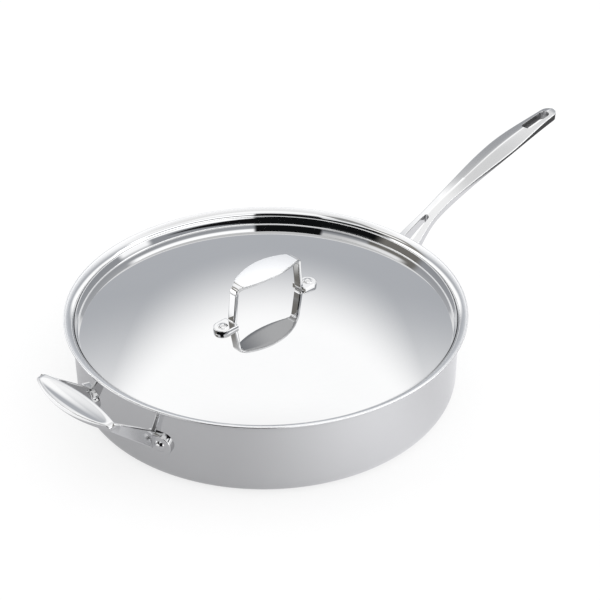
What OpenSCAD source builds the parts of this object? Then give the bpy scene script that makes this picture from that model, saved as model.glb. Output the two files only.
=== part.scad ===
// Saute pan with a helper handle and a recessed lid.
// Origin: centre of the base's underside. +X towards the long handle, +Z up.

/* [Pan] */
// Inside radius of the straight wall
inner_r = 158.8; // [110:0.2:190]
// Height from the base to the top of the rim
pan_h = 71.5; // [55:0.5:120]
// Outside radius of the corner between base and wall
corner_r = 13; // [8:0.5:20]
// Radius of the rim's flare, on its inner side
flare_r = 9.2; // [7:0.2:12]
// Angle that the flare turns through
flare_sweep = 80; // [60:1:88]
// Thickness of the outer steel ply
outer_ply = 0.5; // [0.4:0.05:0.8]
// Thickness of the aluminium core
core_ply = 1.5; // [1:0.1:2.5]
// Thickness of the inner steel ply
inner_ply = 0.5; // [0.4:0.05:0.8]

/* [Lid] */
// Thickness of the lid sheet
lid_t = 1; // [0.6:0.1:1.4]
// Radius of the lid's shallow dome
dome_r = 1350; // [900:10:2500]
// Gap between the lid's edge and the flare it rests in
lid_gap = 0.3; // [0.2:0.05:0.6]
// Angle up the flare at which the lid's edge rests
seat_angle = 20; // [16:1:30]
// Distance of the lid's edge bend in from the wall
bend_inset = 3.9; // [3.4:0.1:6]
// Height of the lid's edge above the centre of its bend
edge_rise = 3.74; // [3:0.1:6]
// Radius of the lid's edge bend, on its upper side
bend_r = 2; // [1:0.1:2.4]

/* [Lid handle] */
// Half the length of the grip
grip_half = 33.5; // [26:0.5:40]
// Half the width of the grip at its middle
grip_half_w = 13.4; // [10:0.2:18]
// Half the width of the grip at its ends
grip_end_w = 4.8; // [4:0.2:7]
// Height of the grip's ends above the top of the lid
grip_h = 34.2; // [28:0.2:45]
// Rise of the grip's middle over its ends
grip_arch = 3; // [1:0.2:4]
// Thickness of the strap
strap_t = 3.3; // [2:0.1:3.8]
// How far out each leg stands where it meets its foot
leg_out = 40; // [38:0.5:43]
// How far each leg leans in towards the grip
leg_lean = 2.4; // [0.5:0.1:4]
// Half the width of each leg
leg_half_w = 4; // [3.5:0.1:6]
// Distance of the lid rivets from the pan's axis
lid_rivet_x = 49.2; // [47:0.2:54]
// Half the width of the lid handle's feet
foot_half_w = 7.8; // [6.5:0.1:9]
// Thickness of the lid handle's feet
foot_t = 3.4; // [1.8:0.1:3.8]
// Radius of the grip's corners, on their outer side
grip_corner_r = 8; // [5:0.5:9]
// Radius of the grip's crown, across its width
grip_crown_r = 130; // [45:5:200]
// Width of the fillet between each leg and its foot
foot_fillet = 1; // [0.5:0.1:1.4]

/* [Long handle] */
// Reach of the long handle from the wall to its tip
handle_reach = 235.7; // [190:1:280]
// Height of the long handle's top line at the wall
root_z = 43.9; // [38:0.5:48]
// Slope of the top line at the wall
root_angle = 38.7; // [30:0.5:45]
// Length of the sharper bend next to the wall
root_bend = 73.7; // [60:1:85]
// Radius of the sharper bend
root_bend_r = 240; // [200:5:400]
// Radius of the rest of the top line
grip_bend_r = 810; // [500:10:2000]
// Distance from the wall to the waist
waist_dist = 54.2; // [50:0.2:62]
// Distance from the wall to the widest part of the grip
widest_dist = 155.6; // [120:0.2:165]
// Half the width of the fork at the wall
fork_half_w = 14; // [12:0.2:18]
// Half the width at the waist, past the fork
waist_half_w = 7.5; // [6.5:0.1:9]
// Half the width at the widest part of the grip
handle_half_w = 13.3; // [11:0.1:16]
// Half the width where the rounded tip begins
tip_half_w = 9; // [8:0.1:10.5]
// Rise of the crest that runs along the top
crest_h = 2.6; // [0.6:0.1:3]
// Depth of the handle at the fork
fork_depth = 12; // [9:0.5:15]
// Depth of the handle along the grip
grip_depth = 7.5; // [6:0.1:9]
// Height of the side faces at the widest part of the grip
thin_side_h = 2.2; // [1.6:0.1:3]
// Width of the bevel along the top edges
bevel = 0.9; // [0.5:0.1:1.4]
// Length of the fork's slot, out from the wall
slot_len = 47; // [40:1:52]
// Half the width of the fork's slot at the wall
slot_root_w = 6.5; // [5:0.1:8]
// Half the width of the fork's slot at its round end
slot_end_w = 2.9; // [2.2:0.1:3.4]
// Distance from the tip to the hanging eye's outer end
eye_inset = 10; // [8:0.5:14]
// Length of the hanging eye
eye_len = 36.5; // [24:0.5:44]
// Half the width of the hanging eye
eye_half_w = 4.8; // [3.4:0.1:5]
// Thickness of the plate that lies on the wall
saddle_t = 4; // [3:0.1:5]
// Half the width of that plate
saddle_half_w = 29; // [26:0.5:34]
// Half the height of that plate
saddle_half_h = 13; // [11:0.5:15]
// Height of that plate's middle
saddle_z = 38; // [34:0.5:42]
// Distance of the long handle's rivets from the middle
handle_rivet_y = 19; // [17:0.5:21]

/* [Helper handle] */
// Distance from the wall to the helper grip's inner edge
helper_gap = 28.3; // [24:0.5:40]
// Distance from the wall to the helper grip's outer edge
helper_reach = 48.7; // [44:0.5:60]
// Half the length of the helper grip
helper_half = 44.5; // [38:0.5:50]
// How far the grip's inner edge bows towards the pan
helper_in_bow = 5.6; // [3:0.2:8]
// How far the grip's outer edge bows outwards
helper_out_bow = 9.5; // [6:0.5:12]
// Height of the helper grip's top edge
helper_top_z = 77; // [70:0.5:90]
// Thickness of the helper grip
helper_t = 5; // [4:0.1:6.5]
// Depth of the dish in the helper grip
helper_dish = 1.5; // [0.8:0.1:2]
// Thickness of the helper's legs
helper_leg_t = 4; // [3:0.1:5]
// Thickness of the helper's feet
helper_foot_t = 3.4; // [2.6:0.1:4]
// How far each leg stands from the middle at the wall
helper_root_y = 38; // [36:0.5:40]
// Height of the middle of the feet
helper_foot_z = 35.5; // [34:0.5:42]
// Half the height of the feet
helper_foot_half = 9; // [8:0.1:10]
// Gap between each helper rivet's head and the leg beside it
helper_rivet_gap = 0.6; // [0.3:0.1:1.5]

/* [Rivets] */
// Radius of the wall rivets' shanks
wall_shank_r = 2.6; // [2:0.1:3]
// Radius of the wall rivets' heads
wall_head_r = 4.9; // [4:0.1:5.6]
// Height of the wall rivets' heads
wall_head_h = 2.4; // [1.6:0.1:3]
// Radius of the wall rivets' heads inside the pan
inside_head_r = 6; // [5:0.1:6.6]
// Height of the wall rivets' heads inside the pan
inside_head_h = 1.2; // [0.8:0.1:1.6]
// Radius of the lid rivets' shanks
lid_shank_r = 2; // [1.5:0.1:2.4]
// Radius of the lid rivets' heads
lid_head_r = 4.4; // [3.6:0.1:5]
// Height of the lid rivets' heads
lid_head_h = 2.2; // [1.4:0.1:2.6]
// Radius of the lid rivets' heads under the lid
under_head_r = 4.6; // [3.8:0.1:5.4]
// Height of the lid rivets' heads under the lid
under_head_h = 1; // [0.7:0.1:1.4]
// Radial clearance of every rivet in its hole
rivet_fit = 0.05; // [0.02:0.01:0.1]

/* [Hidden] */

round_fn = 180;
small_fn = 48;
dome_fn = 2880;
arc_steps = 10;
far = 1000;
lap = 0.02;
cut = 1;

wall_t = outer_ply + core_ply + inner_ply;
wall_r = inner_r + wall_t;
corner_x = wall_r - corner_r;
flare_out_r = flare_r - wall_t;
flare_x = inner_r + flare_r;
lip_r = flare_r - wall_t / 2;
flare_z = pan_h - lip_r * sin(flare_sweep) - wall_t / 2;
lip_angle = 180 - flare_sweep;
lip_c = [flare_x + lip_r * cos(lip_angle), flare_z + lip_r * sin(lip_angle)];
lip_lap = 2;
core_lip_r = flare_r - inner_ply - core_ply / 2;
core_lip_c = [flare_x + core_lip_r * cos(lip_angle), flare_z + core_lip_r * sin(lip_angle)];

edge_dist = flare_r + lid_gap + lid_t / 2;
edge_c = [flare_x - edge_dist * cos(seat_angle), flare_z + edge_dist * sin(seat_angle)];
bend_c = [inner_r - bend_inset, edge_c[1] - edge_rise];
bend_to_edge = edge_c - bend_c;
bend_mid_r = bend_r + lid_t / 2;
edge_angle = atan2(bend_to_edge[1], bend_to_edge[0]) + asin(bend_mid_r / norm(bend_to_edge));
edge_len = sqrt(pow(norm(bend_to_edge), 2) - pow(bend_mid_r, 2));
dome_angle = asin(bend_c[0] / (dome_r + bend_r));
dome_z = bend_c[1] - (dome_r + bend_r) * cos(dome_angle);
dome_lap = lap / dome_r * 180 / PI;
lid_top = dome_z + dome_r;

// Height of the dome's upper side at a distance from the axis
function dome_at(x) = dome_z + sqrt(pow(dome_r, 2) - pow(x, 2));

foot_z = dome_at(lid_rivet_x) + foot_t;
grip_z = lid_top + grip_h;
arch_r = (pow(grip_half, 2) + pow(grip_arch, 2)) / (2 * grip_arch);
arch_z = grip_z + grip_arch - arch_r;
strap_corner = [leg_out - leg_lean - grip_corner_r, grip_z - grip_corner_r];
corner_start = 80;
corner_end = 3;
arch_start = 3;
arch_angle = asin((strap_corner[0] + grip_corner_r * cos(corner_start)) / arch_r);
grip_side_r = (pow(grip_half, 2) + pow(grip_half_w - grip_end_w, 2)) / (2 * (grip_half_w - grip_end_w));

tip_x = wall_r + handle_reach;
bend_end_x = wall_r + root_bend;
bend_end_angle = asin(sin(root_angle) - root_bend / root_bend_r);
bend_end_z = root_z + root_bend_r * (cos(bend_end_angle) - cos(root_angle));
handle_start_x = wall_r + saddle_t / 2;
waist_x = wall_r + waist_dist;
widest_x = wall_r + widest_dist;
tip_round = tip_half_w;
round_x = tip_x - tip_round;
eye_end_x = tip_x - eye_inset;
slot_end_x = wall_r + slot_len;
stations = 44;
station_bias = 0.8;
tip_flat = 0.14;
low_share = 0.35;
low_slope = 1.2;

// Slope angle of the long handle's top line
function top_angle(x) = x < bend_end_x
    ? asin(sin(root_angle) - (x - wall_r) / root_bend_r)
    : asin(sin(bend_end_angle) - (x - bend_end_x) / grip_bend_r);

// Height of the long handle's top line
function top_z(x) = x < bend_end_x
    ? root_z + root_bend_r * (cos(top_angle(x)) - cos(root_angle))
    : bend_end_z + grip_bend_r * (cos(top_angle(x)) - cos(bend_end_angle));

// Smooth step from a at x0 to b at x1
function ease(x, x0, x1, a, b) =
    let (u = min(1, max(0, (x - x0) / (x1 - x0)))) a + (b - a) * u * u * (3 - 2 * u);

function plain_half_w(x) = x < waist_x
    ? ease(x, handle_start_x, waist_x, fork_half_w, waist_half_w)
    : x < widest_x
        ? ease(x, waist_x, widest_x, waist_half_w, handle_half_w)
        : ease(x, widest_x, tip_x, handle_half_w, tip_half_w - 1);

// Half the width of the long handle, with its rounded tip
function half_w(x) = plain_half_w(x)
    * (x > round_x ? sqrt(max(pow(tip_flat, 2), 1 - pow((x - round_x) / tip_round, 2))) : 1);

function depth(x) = x < waist_x
    ? ease(x, handle_start_x, waist_x, fork_depth, grip_depth)
    : grip_depth;

// Height of the long handle's side face: tall at both ends, thin along the grip
function side_h(x) = x < widest_x
    ? ease(x, waist_x, widest_x, depth(x) - 2 * bevel, thin_side_h)
    : ease(x, widest_x, round_x, thin_side_h, grip_depth - 2 * bevel);

// Section of the long handle: crest, top edges, sides and a narrower underside
function handle_section(x) =
    let (w = half_w(x), d = depth(x), s = side_h(x), z = top_z(x), b = min(bevel, w / 3),
         low_w = max(w * low_share, w - (d - b - s) * low_slope))
    [[x, 0, z + crest_h * w / handle_half_w], [x, w - b, z], [x, w, z - b], [x, w, z - b - s],
     [x, low_w, z - d], [x, -low_w, z - d], [x, -w, z - b - s], [x, -w, z - b],
     [x, b - w, z]];

helper_in_x = wall_r + helper_gap;
helper_out_x = wall_r + helper_reach;
helper_in_r = (pow(helper_half, 2) + pow(helper_in_bow, 2)) / (2 * helper_in_bow);
helper_out_r = (pow(helper_half, 2) + pow(helper_out_bow, 2)) / (2 * helper_out_bow);
helper_end_in = helper_in_x + helper_in_bow;
helper_end_out = helper_out_x - helper_out_bow;
helper_mid_x = (helper_in_x + helper_out_x) / 2;
helper_root_x = sqrt(pow(wall_r, 2) - pow(helper_root_y, 2));
helper_rivet_y = helper_root_y + helper_leg_t / 2 + helper_rivet_gap + wall_head_r;
helper_rivet_angle = asin(helper_rivet_y / wall_r);
dish_tube_r = 16;
dish_ring_r = 500;
handle_rivet_angle = asin(handle_rivet_y / wall_r);

// Points along an arc, from angle a0 to a1
function arc(c, r, a0, a1) =
    [for (i = [0:arc_steps]) c + r * [cos(a0 + (a1 - a0) * i / arc_steps),
                                      sin(a0 + (a1 - a0) * i / arc_steps)]];

// Part of a ring between two angles
module ring_sector(r_in, r_out, a0, a1) {
    reach = 2 * r_out;
    intersection() {
        difference() {
            circle(r_out);
            circle(r_in);
        }
        polygon(concat([[0, 0]], [for (i = [0:4])
            reach * [cos(a0 + (a1 - a0) * i / 4), sin(a0 + (a1 - a0) * i / 4)]]));
    }
}

// Section of the pan's wall between two depths in from its outer face
module wall_band(t0, t1) {
    translate([0, t0])
        square([corner_x, t1 - t0]);
    translate([corner_x, corner_r])
        ring_sector(corner_r - t1, corner_r - t0, -90, 0, $fn = small_fn * 2);
    translate([wall_r - t1, corner_r])
        square([t1 - t0, flare_z - corner_r]);
    translate([flare_x, flare_z])
        ring_sector(flare_out_r + t0, flare_out_r + t1, lip_angle, 180, $fn = small_fn * 2);
}

// Half disc that rounds off the lip
module lip_end(c, r) {
    translate(c)
        ring_sector(0, r, lip_angle - 180, lip_angle, $fn = small_fn);
}

// Tongue inside the outer ply that joins it to the lip
module lip_tongue() {
    translate([flare_x, flare_z])
        ring_sector(flare_out_r + outer_ply / 4, flare_out_r + outer_ply * 3 / 4,
                    lip_angle - lip_lap, lip_angle + lip_lap, $fn = small_fn * 2);
}

// A cylinder that points away from the pan's axis
module spoke(angle, z, r, x0, x1) {
    rotate([0, 0, angle])
        translate([x0, 0, z])
            rotate([0, 90, 0])
                cylinder(h = x1 - x0, r = r, $fn = small_fn);
}

// A pair of rivet holes, centred on an angle about the pan's axis
module rivet_holes(middle, angle, z) {
    for (side = [-1, 1])
        spoke(middle + side * angle, z, wall_shank_r + rivet_fit,
              inner_r - saddle_half_h, wall_r + saddle_half_h);
}

module wall_holes() {
    rivet_holes(0, handle_rivet_angle, saddle_z);
    rivet_holes(180, helper_rivet_angle, helper_foot_z);
}

module pan_outer_skin() {
    color("gainsboro")
        difference() {
            rotate_extrude($fn = round_fn)
                union() {
                    wall_band(0, outer_ply);
                    difference() {
                        lip_end(lip_c, wall_t / 2);
                        lip_end(core_lip_c, core_ply / 2);
                    }
                    lip_tongue();
                }
            wall_holes();
        }
}

module pan_core() {
    color("silver")
        difference() {
            rotate_extrude($fn = round_fn)
                union() {
                    wall_band(outer_ply, outer_ply + core_ply);
                    lip_end(core_lip_c, core_ply / 2);
                }
            wall_holes();
        }
}

module pan_inner_liner() {
    color("whitesmoke")
        difference() {
            rotate_extrude($fn = round_fn)
                wall_band(outer_ply + core_ply, wall_t);
            wall_holes();
        }
}

// Radius of the sphere whose cap has this foot radius and height
function dome_radius(r, h) = (r * r + h * h) / (2 * h);

// Half section of a rivet along +Z: its domed head's face at z = 0, its flat head below
module rivet_section(shank_r, grip, head_r, head_h, tail_r, tail_h) {
    r = dome_radius(head_r, head_h);
    intersection() {
        translate([0, head_h - r])
            circle(r, $fn = small_fn * 4);
        square([head_r, head_h]);
    }
    translate([0, -grip])
        square([shank_r, grip]);
    translate([0, -grip - tail_h])
        square([tail_r, tail_h]);
}

// Rivet through the wall and a foot of this thickness
module wall_rivet(angle, z, foot) {
    tail_x = sqrt(pow(inner_r, 2) - pow(inside_head_r, 2));
    rotate([0, 0, angle])
        translate([wall_r + foot, 0, z])
            rotate([0, 90, 0])
                rotate_extrude($fn = small_fn)
                    rivet_section(wall_shank_r, wall_r + foot - tail_x, wall_head_r,
                                  wall_head_h, inside_head_r, inside_head_h);
}

// Outline of a plate on the wall, seen along X, pushed through the wall
module wall_plate(thickness, y0, y1, z, half_h) {
    intersection() {
        difference() {
            cylinder(h = pan_h, r = wall_r + thickness, $fn = round_fn);
            translate([0, 0, -cut])
                cylinder(h = pan_h + 2 * cut, r = wall_r, $fn = round_fn);
        }
        translate([wall_r / 2, 0, 0])
            rotate([90, 0, 90])
                linear_extrude(wall_r)
                    union() {
                        translate([y0, z - half_h])
                            square([y1 - y0, 2 * half_h]);
                        for (y = [y0, y1])
                            translate([y, z])
                                circle(half_h, $fn = small_fn * 2);
                    }
    }
}

module handle_loft() {
    sections = [for (i = [0:stations])
        let (u = i / stations)
        handle_section(handle_start_x
                       + (tip_x - handle_start_x) * sin(90 * pow(u, station_bias)))];
    n = len(sections[0]);
    points = [for (s = sections) for (p = s) p];
    sides = [for (i = [0:stations - 1]) for (j = [0:n - 1])
        let (a = i * n + j, b = i * n + (j + 1) % n)
        for (f = [[a, b, b + n], [a, b + n, a + n]]) f];
    start_cap = [for (j = [1:n - 2]) [0, j + 1, j]];
    end_cap = [for (j = [1:n - 2]) [stations * n, stations * n + j, stations * n + j + 1]];
    polyhedron(points = points, faces = concat(sides, start_cap, end_cap));
}

module fork_slot() {
    linear_extrude(far)
        union() {
            polygon([[wall_r + saddle_t, -slot_root_w], [slot_end_x - slot_end_w, -slot_end_w],
                     [slot_end_x - slot_end_w, slot_end_w], [wall_r + saddle_t, slot_root_w]]);
            translate([slot_end_x - slot_end_w, 0])
                circle(slot_end_w, $fn = small_fn);
        }
}

module hanging_eye() {
    linear_extrude(far)
        union() {
            for (x = [eye_end_x - eye_half_w, eye_end_x - eye_len + eye_half_w])
                translate([x, 0])
                    circle(eye_half_w, $fn = small_fn);
            translate([eye_end_x - eye_len + eye_half_w, -eye_half_w])
                square([eye_len - 2 * eye_half_w, 2 * eye_half_w]);
        }
}

module long_handle() {
    color("gainsboro")
        difference() {
            union() {
                handle_loft();
                wall_plate(saddle_t, saddle_half_h - saddle_half_w, saddle_half_w - saddle_half_h,
                           saddle_z, saddle_half_h);
            }
            fork_slot();
            hanging_eye();
            rivet_holes(0, handle_rivet_angle, saddle_z);
        }
}

module long_handle_rivet_left() {
    color("white")
        wall_rivet(handle_rivet_angle, saddle_z, saddle_t);
}

module long_handle_rivet_right() {
    color("white")
        wall_rivet(-handle_rivet_angle, saddle_z, saddle_t);
}

// Outline of the helper grip, seen from above
module helper_outline() {
    intersection() {
        translate([helper_in_x + helper_in_r, 0])
            circle(helper_in_r, $fn = round_fn * 2);
        translate([helper_out_x - helper_out_r, 0])
            circle(helper_out_r, $fn = round_fn * 2);
        translate([wall_r, -helper_half])
            square([helper_reach, 2 * helper_half]);
    }
}

module helper_grip() {
    difference() {
        translate([0, 0, helper_top_z - helper_t])
            linear_extrude(helper_t)
                helper_outline();
        translate([helper_mid_x, 0, helper_top_z - helper_dish + dish_ring_r + dish_tube_r])
            rotate([0, 90, 0])
                rotate_extrude($fn = round_fn * 2)
                    translate([dish_ring_r, 0])
                        circle(dish_tube_r, $fn = small_fn * 2);
    }
}

// One leg of the helper: a flat plate that widens towards the wall
module helper_leg(side) {
    intersection() {
        linear_extrude(helper_top_z)
            polygon([[helper_root_x - wall_t, side * (helper_root_y - helper_leg_t / 2)],
                     [helper_root_x - wall_t, side * (helper_root_y + helper_leg_t / 2)],
                     [helper_end_in, side * helper_half],
                     [helper_end_out, side * helper_half],
                     [helper_end_out, side * (helper_half - helper_leg_t)],
                     [helper_end_in, side * (helper_half - helper_leg_t)]]);
        translate([0, helper_half + cut, 0])
            rotate([90, 0, 0])
                linear_extrude(2 * (helper_half + cut))
                    polygon([[helper_root_x - wall_t, helper_foot_z - helper_foot_half],
                             [helper_root_x + helper_foot_t, helper_foot_z - helper_foot_half],
                             [helper_end_out, helper_top_z - helper_t],
                             [helper_end_out, helper_top_z],
                             [helper_end_in, helper_top_z],
                             [helper_root_x, helper_foot_z + helper_foot_half],
                             [helper_root_x - wall_t, helper_foot_z + helper_foot_half]]);
        difference() {
            cylinder(h = helper_top_z, r = helper_out_x + helper_half, $fn = round_fn);
            translate([0, 0, -cut])
                cylinder(h = helper_top_z + 2 * cut, r = wall_r, $fn = round_fn);
        }
    }
}

// One foot of the helper, lying on the wall
module helper_foot(side) {
    intersection() {
        wall_plate(helper_foot_t, -helper_rivet_y, helper_rivet_y,
                   helper_foot_z, helper_foot_half);
        translate([0, side > 0 ? helper_root_y - helper_leg_t / 2 : -far, 0])
            cube([far, far - helper_root_y + helper_leg_t / 2, pan_h]);
    }
}

module helper_handle() {
    color("gainsboro")
        rotate([0, 0, 180])
            difference() {
                union() {
                    helper_grip();
                    for (side = [-1, 1]) {
                        helper_leg(side);
                        helper_foot(side);
                    }
                }
                rivet_holes(0, helper_rivet_angle, helper_foot_z);
            }
}

module helper_rivet_left() {
    color("white")
        wall_rivet(180 - helper_rivet_angle, helper_foot_z, helper_foot_t);
}

module helper_rivet_right() {
    color("white")
        wall_rivet(180 + helper_rivet_angle, helper_foot_z, helper_foot_t);
}

// Section of the lid: dome, bend and turned-up edge
module lid_section() {
    translate([0, dome_z])
        ring_sector(dome_r - lid_t, dome_r, 90 - dome_angle - dome_lap, 90, $fn = dome_fn);
    translate(bend_c) {
        ring_sector(bend_r, bend_r + lid_t, -90 - dome_angle, edge_angle - 90, $fn = small_fn * 2);
        rotate(edge_angle)
            translate([-lap, -bend_r - lid_t])
                square([edge_len + lap, lid_t]);
    }
    translate(edge_c)
        circle(lid_t / 2, $fn = small_fn);
}

module lid_holes() {
    for (side = [-1, 1])
        translate([side * lid_rivet_x, 0, lid_top - grip_h])
            cylinder(h = 2 * grip_h, r = lid_shank_r + rivet_fit, $fn = small_fn);
}

module lid_shell() {
    color("whitesmoke")
        difference() {
            rotate_extrude($fn = round_fn)
                lid_section();
            lid_holes();
        }
}

// One side of the strap in side view: grip, corner, leg and foot, outer face first
strap_outer = concat(
    arc([0, arch_z], arch_r, 90 - arch_start, 90 - arch_angle),
    arc(strap_corner, grip_corner_r, corner_start, corner_end),
    [[leg_out, foot_z + foot_fillet], [leg_out + foot_fillet, foot_z],
     [lid_rivet_x + foot_half_w, foot_z]]);
strap_inner = concat(
    [[lid_rivet_x + foot_half_w, foot_z - 2 * foot_t], [leg_out - strap_t, foot_z - 2 * foot_t]],
    arc(strap_corner, grip_corner_r - strap_t, corner_end, corner_start),
    arc([0, arch_z], arch_r - strap_t, 90 - arch_angle, 90 - arch_start));

function mirrored(points) = [for (i = [len(points) - 1:-1:0]) [-points[i][0], points[i][1]]];

module strap_side() {
    polygon(concat(strap_outer, strap_inner, mirrored(strap_inner), mirrored(strap_outer)));
}

// The strap seen from above: a leaf for the grip, narrow legs and tongue-shaped feet
module strap_plan() {
    intersection() {
        translate([0, grip_half_w - grip_side_r])
            circle(grip_side_r, $fn = round_fn * 2);
        translate([0, grip_side_r - grip_half_w])
            circle(grip_side_r, $fn = round_fn * 2);
        square([2 * grip_half, 2 * grip_half_w], center = true);
    }
    square([2 * lid_rivet_x, 2 * leg_half_w], center = true);
    for (side = [-1, 1]) {
        translate([side * lid_rivet_x, 0])
            circle(foot_half_w, $fn = small_fn * 2);
        translate([side * (leg_out + foot_fillet + lid_rivet_x) / 2, 0])
            square([lid_rivet_x - leg_out - foot_fillet, 2 * foot_half_w], center = true);
    }
}

module lid_handle() {
    color("gainsboro")
        difference() {
            intersection() {
                translate([0, grip_half_w + foot_half_w, 0])
                    rotate([90, 0, 0])
                        linear_extrude(2 * (grip_half_w + foot_half_w))
                            strap_side();
                linear_extrude(grip_z + 2 * grip_arch)
                    strap_plan();
                translate([-leg_out - lid_rivet_x, 0, grip_z + grip_arch - grip_crown_r])
                    rotate([0, 90, 0])
                        cylinder(h = 2 * (leg_out + lid_rivet_x), r = grip_crown_r,
                                 $fn = round_fn * 2);
            }
            rotate_extrude($fn = round_fn)
                translate([0, dome_z])
                    ring_sector(dome_r - 3 * foot_t, dome_r, 90 - dome_angle, 90, $fn = dome_fn);
            lid_holes();
        }
}

// Rivet through a foot of the lid handle and the lid
module lid_rivet(side) {
    under_r = dome_r - lid_t;
    under_z = dome_z + sqrt(pow(under_r, 2) - pow(lid_rivet_x + under_head_r, 2));
    translate([side * lid_rivet_x, 0, foot_z])
        rotate_extrude($fn = small_fn)
            rivet_section(lid_shank_r, foot_z - under_z, lid_head_r, lid_head_h,
                          under_head_r, under_head_h);
}

module lid_rivet_left() {
    color("white")
        lid_rivet(-1);
}

module lid_rivet_right() {
    color("white")
        lid_rivet(1);
}

pan_outer_skin();
pan_core();
pan_inner_liner();
long_handle();
long_handle_rivet_left();
long_handle_rivet_right();
helper_handle();
helper_rivet_left();
helper_rivet_right();
lid_shell();
lid_handle();
lid_rivet_left();
lid_rivet_right();
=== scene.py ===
import math

import bmesh
import bpy
from mathutils import Matrix, Vector


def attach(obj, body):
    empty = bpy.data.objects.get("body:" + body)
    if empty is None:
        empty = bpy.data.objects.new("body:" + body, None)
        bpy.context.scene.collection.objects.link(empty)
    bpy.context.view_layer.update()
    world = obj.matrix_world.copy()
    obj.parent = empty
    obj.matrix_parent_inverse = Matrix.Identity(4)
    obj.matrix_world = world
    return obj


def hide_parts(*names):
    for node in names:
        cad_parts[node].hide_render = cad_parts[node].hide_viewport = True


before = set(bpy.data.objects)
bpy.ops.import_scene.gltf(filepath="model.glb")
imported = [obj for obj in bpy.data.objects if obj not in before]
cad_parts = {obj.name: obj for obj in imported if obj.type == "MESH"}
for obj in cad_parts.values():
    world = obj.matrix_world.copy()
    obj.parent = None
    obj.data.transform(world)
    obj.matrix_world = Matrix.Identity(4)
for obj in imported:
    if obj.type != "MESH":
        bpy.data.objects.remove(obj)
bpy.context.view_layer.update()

MM = 0.001
DEGREES = 180 / math.pi


# Node graphs

class Sock:
    """A node's output that takes part in plain arithmetic."""

    def __init__(self, graph, socket):
        self.graph = graph
        self.socket = socket

    def out(self, name):
        return Sock(self.graph, self.socket.node.outputs[name])

    def __add__(self, other):
        return self.graph.math("ADD", self, other)

    def __radd__(self, other):
        return self.graph.math("ADD", other, self)

    def __sub__(self, other):
        return self.graph.math("SUBTRACT", self, other)

    def __rsub__(self, other):
        return self.graph.math("SUBTRACT", other, self)

    def __mul__(self, other):
        return self.graph.math("MULTIPLY", self, other)

    def __truediv__(self, other):
        return self.graph.math("DIVIDE", self, other)


class Graph:
    """Puts nodes in a tree and links them."""

    def __init__(self, tree):
        self.tree = tree

    def node(self, kind, settings=None, values=None, out=0):
        """Adds a node, sets it, fills or links its inputs and gives one of its outputs."""
        made = self.tree.nodes.new(kind)
        for name, value in (settings or {}).items():
            setattr(made, name, value)
        for name, value in (values or {}).items():
            if isinstance(value, Sock):
                self.tree.links.new(value.socket, made.inputs[name])
            else:
                made.inputs[name].default_value = value
        return Sock(self, made.outputs[out]) if made.outputs else made

    def math(self, operation, *terms):
        return self.node("ShaderNodeMath", {"operation": operation}, dict(enumerate(terms)))

    def vector(self, x, y, z):
        return self.node("ShaderNodeCombineXYZ", None, {"X": x, "Y": y, "Z": z})

    def split(self, vector):
        parts = self.node("ShaderNodeSeparateXYZ", None, {"Vector": vector})
        return parts, parts.out("Y"), parts.out("Z")

    def mix(self, share, low, high):
        return self.node("ShaderNodeMix", {"data_type": "RGBA"}, {0: share, 6: low, 7: high}, out=2)

    def step(self, value, low, high, start=0.0, end=1.0):
        """Smooth step of value from low to high."""
        return self.node("ShaderNodeMapRange", {"interpolation_type": "SMOOTHSTEP"},
                         {"Value": value, "From Min": low, "From Max": high,
                          "To Min": start, "To Max": end})

    def fall(self, value, low, high):
        """1 below low, 0 above high."""
        return self.step(value, low, high, 1.0, 0.0)

    def between(self, value, low, low_end, high, high_end):
        """0 outside low and high_end, 1 from low_end to high."""
        return self.step(value, low, low_end) * self.fall(value, high, high_end)

    def noise(self, where, scale, detail=2.0, rough=0.5):
        return self.node("ShaderNodeTexNoise", None,
                         {"Vector": where, "Scale": scale, "Detail": detail, "Roughness": rough})


def grey(level, blue=0.0):
    """A grey, a little bluer where blue is above 0."""
    return (level * (1 - 0.5 * blue), level, level * (1 + blue), 1.0)


# Finishes

SMOOTHEST = 0.012


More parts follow.
